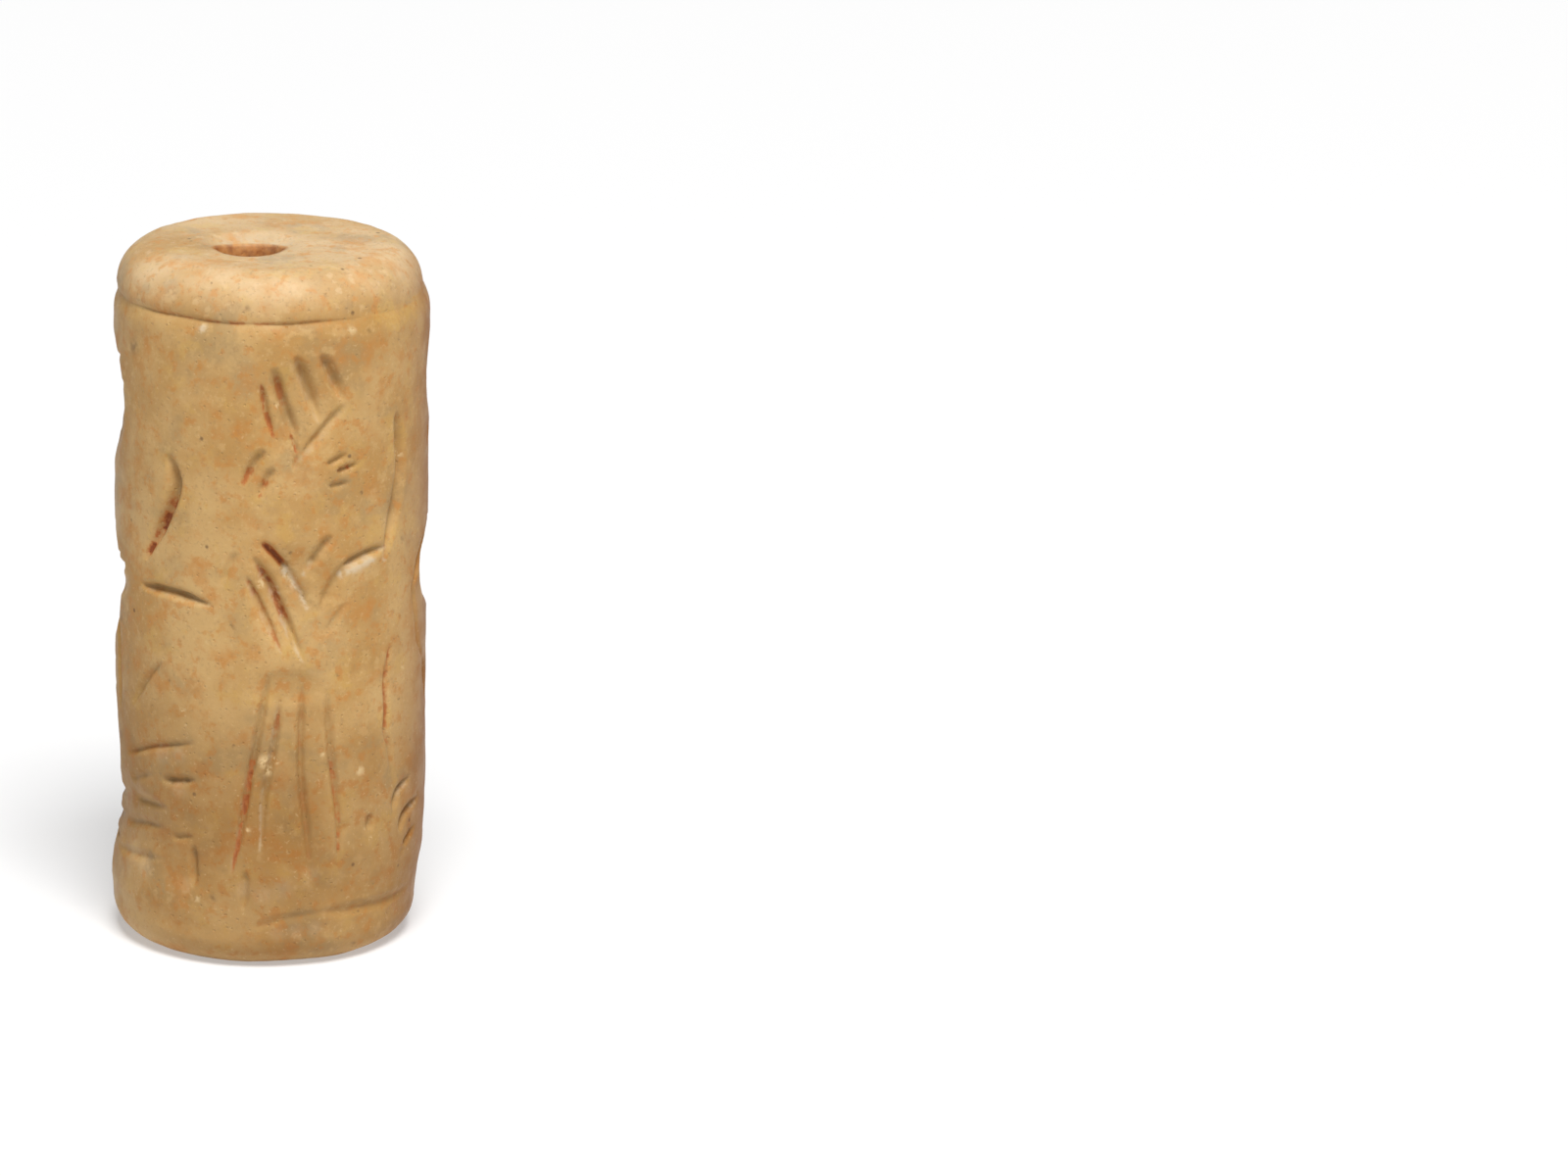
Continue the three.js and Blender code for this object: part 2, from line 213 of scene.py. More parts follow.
leftSide = {
    "arm": [
        stroke(
            (-40.6, 26.5), (-38.2, 25.6), (-38.2, 24.6), (-43.0, 23.1), (-53.5, 20.6),
            wide=0.76, deep=0.54, stain=1.0, stained=(0.38, 1.0),
        ),
    ],
    "skirtEnds": [
        stroke((-43.6, 15.64), (-51.3, 14.63), (-61.9, 12.79), wide=0.4, deep=0.18),
        stroke(
            (-66.1, 10.1), (-48.6, 11.05), (-27.9, 11.75),
            wide=0.44, deep=0.22, stain=0.3, stained=(0.3, 0.7),
        ),
        stroke((-64.0, 8.8), (-48.8, 9.6), wide=0.56, deep=0.15),
        stroke((-43.0, 9.45), (-28.7, 9.8), wide=0.5, deep=0.3, pale=0.2),
    ],
    "feet": [
        stroke((-63.0, 7.75), (-55.0, 7.95), (-41.0, 8.05), wide=0.6, deep=0.17),
        stroke((-72.0, 6.2), (-58.0, 6.65), (-43.1, 6.9), wide=0.6, deep=0.18),
        stroke((-76.0, 4.7), (-56.0, 5.0), (-42.0, 5.3), wide=0.6, deep=0.17),
        stroke((-29.3, 6.35), (-28.2, 4.1), wide=0.46, deep=0.24),
        stroke((-38.2, 6.52), (-29.5, 6.83), wide=0.4, deep=0.16),
    ],
}

frontStandard = {
    "stem": [
        stroke(
            (49.2, 16.5), (47.0, 14.6), (47.6, 13.0), (47.4, 11.9), (49.6, 11.0), (51.0, 9.7), (52.3, 8.6),
            wide=0.42, deep=0.16, stain=0.6, stained=(0.0, 0.7),
        ),
    ],
    "feet": [
        stroke((51.8, 7.6), (55.0, 8.5), (64.0, 9.0), wide=0.5, deep=0.26, pale=0.4),
        stroke((55.7, 6.3), (60.0, 7.2), (72.7, 7.6), wide=0.52, deep=0.28, pale=0.4),
        stroke((59.1, 5.5), (68.5, 6.2), wide=0.46, deep=0.2),
    ],
}

seatedFigure = {
    "hair": [
        stroke((81.7, 30.6), (89.5, 27.9), wide=0.6, deep=0.4),
        stroke((84.9, 31.4), (96.2, 28.4), wide=0.62, deep=0.42),
        stroke((90.8, 31.9), (104.5, 28.8), wide=0.64, deep=0.42),
        stroke((100.8, 32.4), (110.3, 30.2), wide=0.6, deep=0.4),
        stroke((114.5, 30.4), (105.8, 28.1), wide=0.42, deep=0.28),
        stroke((116.2, 28.7), (111.7, 27.9), wide=0.36, deep=0.22),
    ],
    "ear": [
        stroke((90.0, 28.0), (86.0, 26.7), (81.3, 25.7), wide=0.5, deep=0.32),
        stroke((97.3, 27.0), (87.5, 24.7), wide=0.46, deep=0.3),
    ],
    "faceTicks": [
        stroke((121.2, 27.5), (109.1, 27.0), wide=0.4, deep=0.26),
        stroke((129.5, 26.8), (113.2, 26.3), wide=0.42, deep=0.28),
        stroke((124.6, 25.6), (111.7, 25.4), wide=0.4, deep=0.26),
    ],
    "loweredArm": [
        stroke((76.2, 21.2), (64.5, 19.08), wide=0.5, deep=0.34),
        stroke((63.5, 19.37), (66.5, 17.6), (70.5, 15.9), (77.0, 14.6), wide=0.36, deep=0.18),
        stroke((77.5, 14.7), (81.5, 13.5), (86.0, 12.0), wide=0.6, deep=0.34),
    ],
    "raisedArm": [
        stroke((156.0, 29.6), (158.5, 28.0), (157.6, 26.0), (143.3, 22.6), wide=0.74, deep=0.5),
        stroke((138.7, 22.3), (122.4, 21.2), wide=0.5, deep=0.36),
        stroke((137.0, 23.2), (129.0, 22.6), wide=0.32, deep=0.16),
    ],
    "chest": [
        stroke((90.0, 22.9), (102.0, 20.2), wide=0.54, deep=0.36),
        stroke((112.1, 22.7), (103.3, 20.2), wide=0.52, deep=0.36),
        stroke((84.9, 22.2), (102.8, 16.8), wide=0.58, deep=0.4),
        stroke((82.5, 20.4), (93.7, 17.0), wide=0.46, deep=0.3),
        stroke((118.7, 21.8), (107.5, 17.8), wide=0.5, deep=0.34),
        stroke((123.7, 20.2), (114.1, 17.8), wide=0.44, deep=0.26),
    ],
    "lapFringe": [
        stroke((angle, 16.1 - drop), (angle + 0.6, 12.8 + drop), wide=0.46, deep=0.32)
        for angle, drop in (
            (99.8, 0.0), (108.8, 0.05), (120.2, 0.1), (130.2, 0.1), (141.0, 0.3), (150.6, 0.4),
        )
    ],
    "robe": [
        stroke((139.4, 11.0), (137.5, 6.0), (145.3, 3.4), wide=0.4, deep=0.24),
        stroke((152.6, 14.4), (151.8, 9.9), (146.8, 7.1), (145.9, 4.1), wide=0.48, deep=0.34),
        stroke((158.4, 15.6), (159.5, 5.0), wide=0.48, deep=0.34),
        stroke((161.4, 15.9), (164.4, 7.0), wide=0.46, deep=0.3),
        stroke((169.2, 15.4), (171.0, 13.3), (175.2, 8.7), (175.2, 4.8), wide=0.5, deep=0.36),
        stroke((179.2, 14.0), (183.4, 11.0), (185.6, 7.6), (184.3, 5.7), wide=0.48, deep=0.34),
    ],
    "stool": [
        stroke((91.6, 10.7), (106.0, 10.9), (133.8, 11.1), wide=0.6, deep=0.38),
        stroke((95.8, 10.6), (95.2, 6.5), (93.4, 3.4), wide=0.48, deep=0.32),
    ],
}

curvedStandard = {
    "stem": [
        stroke(
            (187.8, 30.1), (176.8, 27.6), (173.4, 26.2), (175.2, 23.5), (181.9, 20.4),
            wide=0.8, deep=0.46,
        ),
        stroke((188.6, 22.6), (187.6, 21.0), (180.8, 20.3), wide=0.5, deep=0.3),
    ],
    "arm": [
        stroke((145.8, 19.5), (158.5, 19.2), (175.3, 20.2), wide=0.6, deep=0.4),
        stroke((176.0, 20.0), (183.4, 17.8), (192.7, 15.7), (195.6, 14.2), wide=0.56, deep=0.38),
    ],
}

swordFigure = {
    "sword": [
        stroke((207.0, 31.9), (209.4, 28.0), (208.0, 24.6), (205.5, 21.1), wide=0.66, deep=0.44),
        stroke((198.7, 19.8), (215.7, 21.0), wide=0.5, deep=0.36),
        stroke((204.6, 20.2), (206.5, 17.7), wide=0.44, deep=0.3),
    ],
    "arms": [
        stroke((207.0, 18.8), (231.6, 19.1), wide=0.56, deep=0.38),
        stroke((231.2, 19.1), (236.3, 20.1), (244.9, 21.2), wide=0.46, deep=0.3),
        stroke((276.0, 20.0), (285.0, 19.6), (291.0, 19.9), wide=0.6, deep=0.34),
    ],
    "standardStem": [
        stroke((217.3, 16.2), (213.9, 14.2), (215.5, 12.1), (222.4, 9.1), wide=0.42, deep=0.26),
    ],
    "standardFeet": [
        stroke((219.5, 7.8), (236.5, 6.6), wide=0.48, deep=0.32),
        stroke((218.7, 6.8), (233.2, 5.2), wide=0.48, deep=0.32),
        stroke((212.0, 4.2), (224.0, 5.3), wide=0.46, deep=0.28),
    ],
    "hair": [
        stroke((254.5, 29.9), (264.1, 30.8), wide=0.4, deep=0.2),
        stroke((257.8, 29.1), (276.6, 31.2), wide=0.58, deep=0.4),
        stroke((260.4, 27.8), (286.6, 30.8), wide=0.64, deep=0.44),
        stroke((267.0, 26.9), (290.8, 29.4), wide=0.64, deep=0.44),
        stroke((272.9, 26.2), (290.8, 28.0), wide=0.56, deep=0.38),
        stroke((249.8, 29.1), (256.4, 27.6), (264.8, 26.4), (271.6, 26.0), wide=0.44, deep=0.28),
    ],
    "faceTicks": [
        stroke((242.8, 25.2), (252.4, 24.7), wide=0.42, deep=0.28),
        stroke((249.4, 25.9), (258.0, 25.8), wide=0.4, deep=0.26),
        stroke((251.1, 23.4), (263.2, 24.2), wide=0.42, deep=0.26),
    ],
    "chest": [
        stroke((274.0, 21.8), (266.3, 19.1), wide=0.52, deep=0.36),
        stroke((253.8, 21.8), (260.8, 20.0), wide=0.5, deep=0.34),
        stroke((247.0, 20.2), (256.4, 17.8), (261.5, 16.2), wide=0.54, deep=0.38),
        stroke((241.3, 19.7), (250.6, 16.0), wide=0.5, deep=0.32),
        stroke((283.2, 20.4), (276.4, 18.5), (267.1, 16.7), wide=0.54, deep=0.38),
        stroke((284.0, 19.2), (276.3, 17.0), wide=0.46, deep=0.28),
    ],
    "belt": [
        stroke((281.5, 17.2), (284.0, 14.9), (285.5, 12.0), wide=0.56, deep=0.28),
    ],
    "flounces": [
        stroke((252.2, 15.1), (274.7, 14.2), wide=0.48, deep=0.34),
        stroke((250.5, 13.8), (278.1, 12.8), wide=0.5, deep=0.36),
        stroke((249.7, 12.4), (278.4, 11.3), wide=0.5, deep=0.36),
        stroke((249.7, 10.8), (274.0, 9.9), wide=0.5, deep=0.3),
        stroke((249.7, 9.4), (271.0, 8.4), wide=0.48, deep=0.28),
        stroke((248.1, 7.9), (266.4, 6.9), wide=0.48, deep=0.32),
    ],
    "legs": [
        stroke((262.0, 6.9), (275.0, 7.5), (286.0, 7.7), wide=0.6, deep=0.16),
        stroke((252.0, 6.3), (263.0, 5.9), (284.0, 6.4), wide=0.6, deep=0.18),
        stroke((264.0, 5.1), (282.0, 5.1), wide=0.5, deep=0.26),
    ],
}

# Pale crystals, chalky places that also carry a painted highlight, foot ridges given a painted highlight and
# dark marks: angle, height, size
crystals = [
    (1.8, 29.45, 0.2), (5.9, 20.7, 0.2), (7.4, 20.3, 0.2),
    (-3.9, 20.3, 0.3), (14.6, 21.3, 0.2), (-2.4, 11.0, 0.4), (2.0, 11.05, 0.24), (-1.1, 10.45, 0.3),
    (34.7, 10.2, 0.28), (20.0, 11.3, 0.13), (-8.4, 7.45, 0.13), (40.0, 6.5, 0.12), (57.0, 15.0, 0.12),
    (-33.4, 13.3, 0.22), (55.6, 26.1, 0.22), (-28.8, 27.8, 0.1), (-26.0, 3.6, 0.16),
    (-26.0, 33.3, 0.26), (30.0, 33.15, 0.22), (36.5, 34.1, 0.13),
    (140.0, 24.0, 0.3), (205.0, 12.0, 0.35), (172.0, 30.2, 0.2), (238.0, 17.6, 0.25), (112.0, 9.0, 0.3),
]
chalkAndHighlightPlaces = [
    (0.6, 20.3, 0.14), (1.5, 20.05, 0.17), (2.5, 19.75, 0.14), (14.0, 21.1, 0.2), (12.6, 20.7, 0.18),
    (-26.0, 33.25, 0.3), (30.0, 33.1, 0.25),
    *((5.0 + 1.1 * i, 20.95 - 0.25 * i, 0.3 - 0.015 * i) for i in range(9)),
    *((27.0 + 1.1 * i, 20.6 + 0.045 * i, 0.25) for i in range(13)),
]
litRidgeSpots = [
    (-36.0, 9.1, 0.5), (-44.0, 10.8, 0.6), (-36.0, 11.0, 0.5), (-62.0, 5.0, 0.8), (-52.0, 4.6, 0.7),
    (-32.0, 4.2, 0.5), (-9.0, 4.3, 0.5), (-2.0, 4.1, 0.55), (6.0, 4.4, 0.7), (5.0, 1.9, 0.5),
    (12.0, 2.0, 0.5), (19.0, 2.1, 0.5), (15.0, 5.0, 0.6), (62.0, 8.3, 0.5), (66.0, 6.9, 0.4),
]
marks = [
    (-8.6, 34.4, 0.2), (24.3, 15.5, 0.2), (-20.3, 3.8, 0.2), (-59.7, 31.5, 0.45), (-74.8, 22.2, 0.28),
    (-74.0, 17.0, 0.3), (-75.0, 10.9, 0.4), (-14.0, 18.0, 0.12), (37.5, 33.0, 0.12), (-11.7, 23.5, 0.12),
    (55.8, 21.8, 0.12), (37.0, 0.9, 0.14), (130.0, 19.0, 0.2), (150.0, 28.0, 0.15), (200.0, 5.0, 0.3),
    (225.0, 25.0, 0.2), (250.0, 32.5, 0.15), (178.0, 16.5, 0.14), (100.0, 4.0, 0.2),
]


def smoothStep(value):
    held = np.clip(value, 0.0, 1.0)
    return held * held * (3 - 2 * held)


def arcOf(centre, radius, fromTurn, toTurn, count):
    # points on a round stretch of the outline, turns in degrees
    turns = [math.radians(fromTurn + (toTurn - fromTurn) * i / count) for i in range(count + 1)]
    return [(centre[0] + radius * math.cos(t), centre[1] + radius * math.sin(t)) for t in turns]


def lineOf(start, end, spacing):
    count = max(1, round(math.dist(start, end) / spacing))
    share = [i / count for i in range(1, count)]
    return [(start[0] + (end[0] - start[0]) * s, start[1] + (end[1] - start[1]) * s) for s in share]


def softLine(at, knots):
    # a soft line through (place, value) knots
    for (lowAt, low), (highAt, high) in zip(knots, knots[1:]):
        if at <= highAt:
            return low + (high - low) * float(smoothStep((at - lowAt) / (highAt - lowAt)))
    return knots[-1][1]


def stoneOutline(form):
    # half section as one closed loop: up the bore, out over the cap, down the side, back under the base
    height, lip, lipDepth = sealHeight, form["lipRadius"], form["lipDepth"]
    neck = height - form["capHeight"]
    capFlat = form["capRadius"] - form["capRound"]
    baseRound, footRadius = form["side"][0]
    baseFlat = footRadius - baseRound
    bore = form["boreRadius"]
    points = [(bore, lipDepth)] + lineOf((bore, lipDepth), (bore, height - lipDepth), form["boreStep"])
    points += [(bore, height - lipDepth), (bore + 0.05, height - 0.4), (bore + 0.13, height - 0.16)]
    points += [(lip, height - 0.03), (lip + 0.2, height)]
    points += lineOf((lip + 0.2, height), (capFlat, height), form["flatStep"])
    points += arcOf((capFlat, height - form["capRound"]), form["capRound"], 90, 0, 18)
    points += [(radius, neck + up) for up, radius in form["crease"]]
    top = neck + form["crease"][-1][0] - form["step"]
    rings = round((top - baseRound) / form["step"])
    for ring in range(rings, 0, -1):
        here = baseRound + (top - baseRound) * ring / rings
        points.append((softLine(here, form["side"]), here))
    points += arcOf((baseFlat, baseRound), baseRound, 0, -90, 16)
    points += lineOf((baseFlat, 0), (lip + 0.2, 0), form["baseStep"])
    points += [(lip + 0.2, 0), (lip, 0.03), (bore + 0.13, 0.16), (bore + 0.05, 0.4)]
    return points


def spinStone(form):
    bm = bmesh.new()
    ring = [bm.verts.new((radius, 0, height)) for radius, height in stoneOutline(form)]
    loop = [bm.edges.new(pair) for pair in zip(ring, ring[1:] + ring[:1])]
    bmesh.ops.spin(
        bm, geom=ring + loop, cent=(0, 0, 0), axis=(0, 0, 1),
        angle=2 * math.pi, steps=form["around"], use_merge=True,
    )
    bmesh.ops.remove_doubles(bm, verts=bm.verts[:], dist=0.001)
    bmesh.ops.recalc_face_normals(bm, faces=bm.faces[:])
    return bm


def placesOf(bm):
    return np.array([v.co[:] for v in bm.verts])


def anglesOf(places):
    return np.degrees(np.arctan2(places[:, 0], -places[:, 1]))


def acrossFrom(angles, middle):
    # distance round the side from one angle, in millimetres
    return np.radians((angles - middle + 540) % 360 - 180) * shoulderRadius


def smoothCourse(points):
    # a soft curve through the points of a stroke, as (distance round, height)
    knots = [Vector((math.radians(a - points[0][0]) * shoulderRadius, h)) for a, h in points]
    if len(knots) == 2:
        return np.array([knots[0].lerp(knots[1], i / 6) for i in range(7)])
    ends = [2 * knots[0] - knots[1]] + knots + [2 * knots[-1] - knots[-2]]
    course = []
    for a, b, c, d in zip(ends, ends[1:], ends[2:], ends[3:]):
        for i in range(8):
            t = i / 8
            bend, twist = 2 * a - 5 * b + 4 * c - d, 3 * b - a - 3 * c + d
            course.append(0.5 * (2 * b + (c - a) * t + bend * t**2 + twist * t**3))
    course.append(knots[-1])
    return np.array(course)


def strokeReach(one, angles, heights):
    # for every point near a stroke: how far off it is, how far below and how far along
    course = smoothCourse(one["points"])
    across = acrossFrom(angles, one["points"][0][0])
    pad = one["wide"] + tool["search"]
    low, high = course.min(0) - pad, course.max(0) + pad
    near = (across > low[0]) & (across < high[0]) & (heights > low[1]) & (heights < high[1])
    picked = np.nonzero(near)[0]
    spots = np.stack([across[picked], heights[picked]], 1)
    best = np.full(len(picked), 1e9)
    below = np.zeros(len(picked))
    along = np.zeros(len(picked))
    legs = np.linalg.norm(np.diff(course, axis=0), axis=1)
    total = legs.sum()
    done = 0.0
    for start, end, leg in zip(course, course[1:], legs):
        share = np.clip(((spots - start) @ (end - start)) / leg**2, 0, 1)
        offset = spots - start - share[:, None] * (end - start)
        away = np.linalg.norm(offset, axis=1)
        closer = away < best
        best[closer] = away[closer]
        below[closer] = -(offset @ tool["lowerWall"])[closer]
        along[closer] = (done + share[closer] * leg) / total
        done += leg
    return picked, best, below, along


def refineNearStrokes(bm, strokes):
    # twice as fine wherever the tool passed
    places = placesOf(bm)
    angles, heights = anglesOf(places), places[:, 2]
    close = np.zeros(len(places), bool)
    for one in strokes:
        picked, away, below, along = strokeReach(one, angles, heights)
        close[picked[away < one["wide"] / 2 + tool["fineRim"]]] = True
    close &= np.hypot(places[:, 0], places[:, 1]) > stoneForm["capRadius"] - 1.0
    bm.verts.ensure_lookup_table()
    nearFaces = {face for index in np.nonzero(close)[0] for face in bm.verts[index].link_faces}
    nearEdges = [edge for edge in bm.edges if any(face in nearFaces for face in edge.link_faces)]
    bmesh.ops.subdivide_edges(bm, edges=nearEdges, cuts=1, use_grid_fill=True)


def carve(places, strokes):
    # depth of the cuts, strength of the red stain and of the chalky wall, partly a painted highlight, at
    # every point of the side
    angles, heights = anglesOf(places), places[:, 2]
    depth, stain, chalkAndHighlight = np.zeros((3, len(places)))
    for one in strokes:
        picked, away, below, along = strokeReach(one, angles, heights)
        ends = np.clip(along / tool["runIn"], 0, 1) ** 0.65
        ends = ends * np.clip((1 - along) / tool["runOut"], 0, 1) ** 0.8
        half = one["wide"] / 2 * (0.45 + 0.55 * ends)  # the tool leaves a narrower cut at both ends
        sharp = np.clip(1 - away / (half * tool["sharpReach"]), 0, 1)
        soft = smoothStep(1 - away / (half * tool["softReach"]))
        cut = one["deep"] * tool["depth"] * ends * (tool["sharp"] * sharp + (1 - tool["sharp"]) * soft)
        depth[picked] = np.maximum(depth[picked], cut)
        start, end = one["stained"]
        red = one["stain"] * smoothStep((half - away) / (half * 0.7))
        red = red * smoothStep((along - start + 0.04) / 0.12) * smoothStep((end + 0.02 - along) / 0.1)
        stain[picked] = np.maximum(stain[picked], red)
        # the lower wall faces the light; its chalk is partly real crushed stone, partly a painted highlight
        wall = smoothStep((below / half + 0.05) / 0.4) * smoothStep((half * 1.25 - away) / (half * 0.5))
        chalkAndHighlight[picked] = np.maximum(chalkAndHighlight[picked], one["pale"] * wall * smoothStep(along / 0.15))
    return depth, stain, chalkAndHighlight


def scoop(places):
    angles, heights = anglesOf(places), places[:, 2]

    def bowl(angle, height, wide, tall, deep):
        across = acrossFrom(angles, angle) / wide
        up = (heights - height) / tall
        return deep * smoothStep(1 - across**2 - up**2)

    depth = np.max([bowl(*one) for one in hollows.values()], axis=0)
    return depth + sum(bowl(*one) for one in wornSpots.values())


def waves(places, sizes):
    total = np.zeros(len(places))
    for number, (size, rise) in enumerate(sizes):
        shift = Vector((17.0 * number, 0, 0))
        total += rise * np.array([noise.noise(Vector(place) / size + shift) for place in places])
    return total


def dents(places):
    # small knocks in the polished side
    angles, heights = anglesOf(places), places[:, 2]
    depth = np.zeros(len(places))
    for _ in range(wear["dents"]):
        angle, height = random.uniform(-180, 180), random.uniform(*wear["dentHeights"])
        size, deep = random.uniform(*wear["dentSize"]), random.uniform(*wear["dentDepth"])
        away = np.hypot(acrossFrom(angles, angle), heights - height) / size
        depth = np.maximum(depth, deep * smoothStep(1 - away))
    return depth


def wearCrease(places, form):
    # the crease under the cap is worn shallow towards the right
    neck = sealHeight - form["capHeight"]
    radius = np.hypot(places[:, 0], places[:, 1])
    low, shoulder = form["crease"][-1]
    high = form["crease"][0][0]
    share = np.clip((places[:, 2] - neck - low) / (high - low), 0, 1)
    unworn = shoulder + (form["capRadius"] - shoulder) * share
    inCrease = (places[:, 2] > neck + low) & (places[:, 2] < neck + high) & (radius > form["capRadius"] - 0.5)
    turn = anglesOf(places)
    towardsRight = np.cos(np.radians(turn - wear["creaseFillAngle"]))
    uneven = np.array([noise.noise(Vector(place) / 1.4) for place in places])
    fill = wear["creaseFill"] * smoothStep((towardsRight - 0.25) / 0.6)
    fill = fill + wear["leftCreaseFill"] * smoothStep((-45 - turn) / 25)
    fill = np.clip(fill + 0.15 + 0.6 * uneven, 0, 1)
    return np.where(inCrease, np.maximum(0, unworn - radius) * fill, 0)


def spotsAt(places, spots):
    # soft round spots on the side, each given as angle, height and size
    angles, heights = anglesOf(places), places[:, 2]
    strength = np.zeros(len(places))
    for angle, height, size in spots:
        away = np.hypot(acrossFrom(angles, angle), heights - height) / size
        strength = np.maximum(strength, smoothStep(1.25 - away))
    return strength


def storeFloat(mesh, name, values):
    layer = mesh.attributes.new(name, "FLOAT", "POINT")
    layer.data.foreach_set("value", np.asarray(values, np.float32))


# Where the colour is painted lighter or darker for light and shade: a painted lift on the cap and foot
# ridges, painted warm shade on the right, painted shade low down and on the left. Each share is of the full
# colour, angles are as above, reaches and heights in millimetres
handling = {
    "warmShadeSide": (92, 6.4),  # angle, reach
    "warmShadeLostOnCap": 0.7,  # how much of it the cap has lost
    "paintedCapLight": 0.95,
    "paintedRidgeLight": 0.45,
    "shadeBelow": (0.9, 17, 9),  # share, height where it starts, height that it takes to come in
    "cleanBelow": (0.25, 5, 3),
    "shadeLeft": (0.6, -55, 6, 18, 8),  # share, angle, reach, height where it starts, height to come in
    "cleanLeft": (0.75, -55, 8, 6.5, 3),
    "shadeLeftEdge": (0.3, -92, 5),  # share, angle, reach
    "lessShadeRight": (0.3, 42, 5),
    "shadeUnderFoot": (0.5, -35, 9),
    "stainedCrease": 0.35,
    "chalkAndHighlightLip": 0.7,
    "chalkAndHighlightSpots": 0.95,
}


def radiusOf(places):
    return np.hypot(places[:, 0], places[:, 1])


def onSideOf(places):
    # one on the side, fading to nothing on the two ends
    return smoothStep((radiusOf(places) - 6.6) / 0.5)


def behindMouth(places):
    # one behind the upper mouth of the bore, fading to nothing in front of it
    return np.clip(0.3 + 0.7 * places[:, 1] / radiusOf(places), 0, 1) * (places[:, 2] > sealHeight - 1)


def wornPlaces(places, normals, cut, form):
    # where each point of the turned stone goes as it is cut, worn and bored
    radius, onSide = radiusOf(places), onSideOf(places)
    outward = places * (1, 1, 0) / radius[:, None]
    pressed = (cut + scoop(places) + dents(places)) * onSide
    uneven = waves(places, wear["waves"]) * smoothStep((radius - 1.7) / 0.6) - wear["polish"]
    moved = places + outward * (wearCrease(places, form) - pressed)[:, None] + normals * uneven[:, None]
    moved[:, 0] += [softLine(height, form["lean"]) for height in places[:, 2]]

    # the crease wanders a little up and down
    aboveNeck = places[:, 2] - (sealHeight - form["capHeight"])
    drift = np.array([noise.noise(Vector((x / 2.2, y / 2.2, 3.0))) for x, y, z in places])
    moved[:, 2] += wear["creaseDrift"] * drift * smoothStep(1.6 - np.abs(aboveNeck) / 0.8) * onSide

    # the bore was drilled off the middle and askew, and its upper mouth is worn
    up = places[:, 2:3] / sealHeight
    middle = np.array(form["boreBase"]) * (1 - up) + np.array(form["boreTop"]) * up
    moved[:, :2] += middle * smoothStep((5.0 - radius) / 2.6)[:, None]
    moved[:, 2] -= form["lipWear"] * behindMouth(places) * smoothStep((2.7 - radius) / 0.6)
    inFront = np.clip(-places[:, 1] / radius, 0, 1) * (places[:, 2] > sealHeight - 1)
    moved[:, 1] -= form["lipReach"] * inFront * smoothStep((4.0 - radius) / 1.8)

    # it stays within its height and stands flat
    moved[:, 2] = np.clip(moved[:, 2], 0, sealHeight)
    moved[(places[:, 2] < 1e-4), 2] = 0
    return moved


def paintStone(mesh, places, cut, stain, chalkAndHighlight, form):
    # the strengths that the material reads at every point
    angles, heights = anglesOf(places), places[:, 2]
    radius, onSide = radiusOf(places), onSideOf(places)
    aboveNeck = heights - (sealHeight - form["capHeight"])

    def near(angle, reach):
        return smoothStep(1 - np.abs(acrossFrom(angles, angle)) / reach)

    def below(height, depth):
        return smoothStep((height - heights) / depth)

    inCrease = smoothStep(1.3 - np.abs(aboveNeck) / 0.12) * onSide
    inCrease *= smoothStep((50 - np.abs(angles + 15)) / 30)
    storeFloat(mesh, "cut", np.clip(cut / 0.5, 0, 1))
    storeFloat(mesh, "stain", np.maximum(stain, handling["stainedCrease"] * inCrease))

    # chalk on the worn back of the mouth and at the listed spots, partly a painted highlight
    lip = behindMouth(places) * smoothStep((2.7 - radius) / 0.4) * smoothStep((radius - 1.7) / 0.2)
    chalkAndHighlightParts = [chalkAndHighlight, handling["chalkAndHighlightLip"] * lip, handling["chalkAndHighlightSpots"] * spotsAt(places, chalkAndHighlightPlaces)]
    storeFloat(mesh, "chalkAndHighlight", np.max(chalkAndHighlightParts, axis=0))
    storeFloat(mesh, "fleck", spotsAt(places, crystals) * onSide)
    storeFloat(mesh, "mark", spotsAt(places, marks) * smoothStep((radius - 5.0) / 0.5))

    # painted shade with a warm bounce on the right side, which the cap mostly lacks
    lostOnCap = handling["warmShadeLostOnCap"] * smoothStep((aboveNeck + 1) / 3)
    storeFloat(mesh, "paintedWarmShade", near(*handling["warmShadeSide"]) * (1 - lostOnCap) * onSide)
    # painted light: the cap and some foot ridges are lifted paler, as if lit more
    paintedCapLight = handling["paintedCapLight"] * smoothStep((aboveNeck + 0.4) / 2.4)
    paintedRidgeLight = handling["paintedRidgeLight"] * spotsAt(places, litRidgeSpots) * onSide
    storeFloat(mesh, "paintedLift", np.maximum(paintedCapLight, paintedRidgeLight))

    def patch(share, angle, reach, height=2 * sealHeight, depth=1.0):
        return share * near(angle, reach) * below(height, depth)

    def band(share, height, depth):
        return share * below(height, depth)

    # painted shade: darker low down, on the left, on the far left edge and under the foot, less so at the
    # very foot, low on the left and on the right
    low = band(*handling["shadeBelow"]) - band(*handling["cleanBelow"])
    shadeHere = np.max([low, patch(*handling["shadeLeft"]), patch(*handling["shadeLeftEdge"])], axis=0)
    clean = patch(*handling["cleanLeft"]) + patch(*handling["lessShadeRight"])
    footEdge = 2.4 + 2.2 * near(-70, 9)
    shadeUnderFoot = patch(*handling["shadeUnderFoot"]) * below(footEdge, 1.0)
    storeFloat(mesh, "paintedShade", np.clip(shadeHere - clean + shadeUnderFoot, 0, 1))
    storeFloat(mesh, "bore", smoothStep((2.0 - radius) / 0.3))


